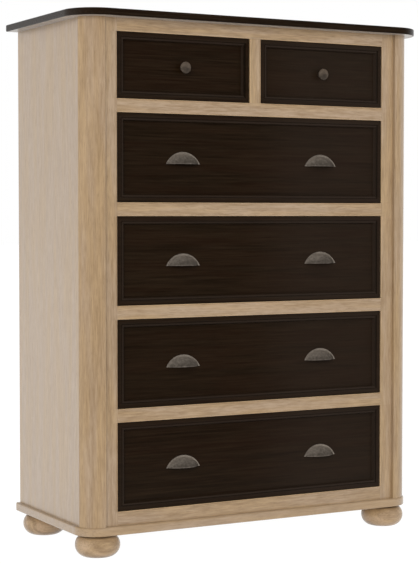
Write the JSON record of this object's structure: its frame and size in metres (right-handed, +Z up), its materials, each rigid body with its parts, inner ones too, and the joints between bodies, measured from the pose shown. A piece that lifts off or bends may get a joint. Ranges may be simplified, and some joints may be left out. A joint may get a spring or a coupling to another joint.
{
  "type": "tall chest of drawers",
  "caption": "Tall free-standing chest of drawers in pale oak with a dark top and dark inset drawer fronts, cup pulls, knobs, rounded corner posts and bun feet.",
  "frame": {"origin": "on the floor under the centre of the top board", "axes": "+X to the right seen from the front, +Y to the back, +Z up"},
  "size_m": [1.088, 0.491, 1.4305],
  "materials": {
    "pale_oak": "bleached oak, satin lacquer",
    "dark_stain": "near-black brown stain, satin lacquer",
    "drawer_wood": "plain sanded hardwood",
    "plywood": "plain plywood",
    "pewter": "brushed antique pewter",
    "bolt_steel": "zinc plated"
  },
  "bodies": {
    "case": {"top_board": "dark_stain", "side_panel_left": "pale_oak", "side_panel_right": "pale_oak", "front_post_left": "pale_oak", "front_post_right": "pale_oak", "stile_left": "pale_oak", "stile_right": "pale_oak", "top_rail": "pale_oak", "drawer_rail_1": "pale_oak", "drawer_rail_2": "pale_oak", "drawer_rail_3": "pale_oak", "drawer_rail_4": "pale_oak", "bottom_rail": "pale_oak", "drawer_divider": "pale_oak", "back_panel": "plywood", "back_battens": "drawer_wood", "base_board": "pale_oak", "foot_front_left": "pale_oak", "foot_front_right": "pale_oak", "foot_back_left": "pale_oak", "foot_back_right": "pale_oak", "foot_bolts": "bolt_steel", "drawer_runners": "drawer_wood", "centre_runner": "drawer_wood"},
    "top_drawer_left": {"top_drawer_left_front": "dark_stain", "top_drawer_left_side_left": "drawer_wood", "top_drawer_left_side_right": "drawer_wood", "top_drawer_left_back": "drawer_wood", "top_drawer_left_bottom": "plywood", "top_drawer_left_knob": "pewter"},
    "top_drawer_right": {"top_drawer_right_front": "dark_stain", "top_drawer_right_side_left": "drawer_wood", "top_drawer_right_side_right": "drawer_wood", "top_drawer_right_back": "drawer_wood", "top_drawer_right_bottom": "plywood", "top_drawer_right_knob": "pewter"},
    "drawer_1": {"drawer_1_front": "dark_stain", "drawer_1_side_left": "drawer_wood", "drawer_1_side_right": "drawer_wood", "drawer_1_back": "drawer_wood", "drawer_1_bottom": "plywood", "drawer_1_pulls": "pewter"},
    "drawer_2": {"drawer_2_front": "dark_stain", "drawer_2_side_left": "drawer_wood", "drawer_2_side_right": "drawer_wood", "drawer_2_back": "drawer_wood", "drawer_2_bottom": "plywood", "drawer_2_pulls": "pewter"},
    "drawer_3": {"drawer_3_front": "dark_stain", "drawer_3_side_left": "drawer_wood", "drawer_3_side_right": "drawer_wood", "drawer_3_back": "drawer_wood", "drawer_3_bottom": "plywood", "drawer_3_pulls": "pewter"},
    "drawer_4": {"drawer_4_front": "dark_stain", "drawer_4_side_left": "drawer_wood", "drawer_4_side_right": "drawer_wood", "drawer_4_back": "drawer_wood", "drawer_4_bottom": "plywood", "drawer_4_pulls": "pewter"}
  },
  "joints": [
    {"name": "top_drawer_left_slide", "type": "slide", "parent": "case", "child": "top_drawer_left", "axis": [0, -1, 0], "range_m": [0, 0.3]},
    {"name": "top_drawer_right_slide", "type": "slide", "parent": "case", "child": "top_drawer_right", "axis": [0, -1, 0], "range_m": [0, 0.3]},
    {"name": "drawer_1_slide", "type": "slide", "parent": "case", "child": "drawer_1", "axis": [0, -1, 0], "range_m": [0, 0.3]},
    {"name": "drawer_2_slide", "type": "slide", "parent": "case", "child": "drawer_2", "axis": [0, -1, 0], "range_m": [0, 0.3]},
    {"name": "drawer_3_slide", "type": "slide", "parent": "case", "child": "drawer_3", "axis": [0, -1, 0], "range_m": [0, 0.3]},
    {"name": "drawer_4_slide", "type": "slide", "parent": "case", "child": "drawer_4", "axis": [0, -1, 0], "range_m": [0, 0.3]}
  ]
}
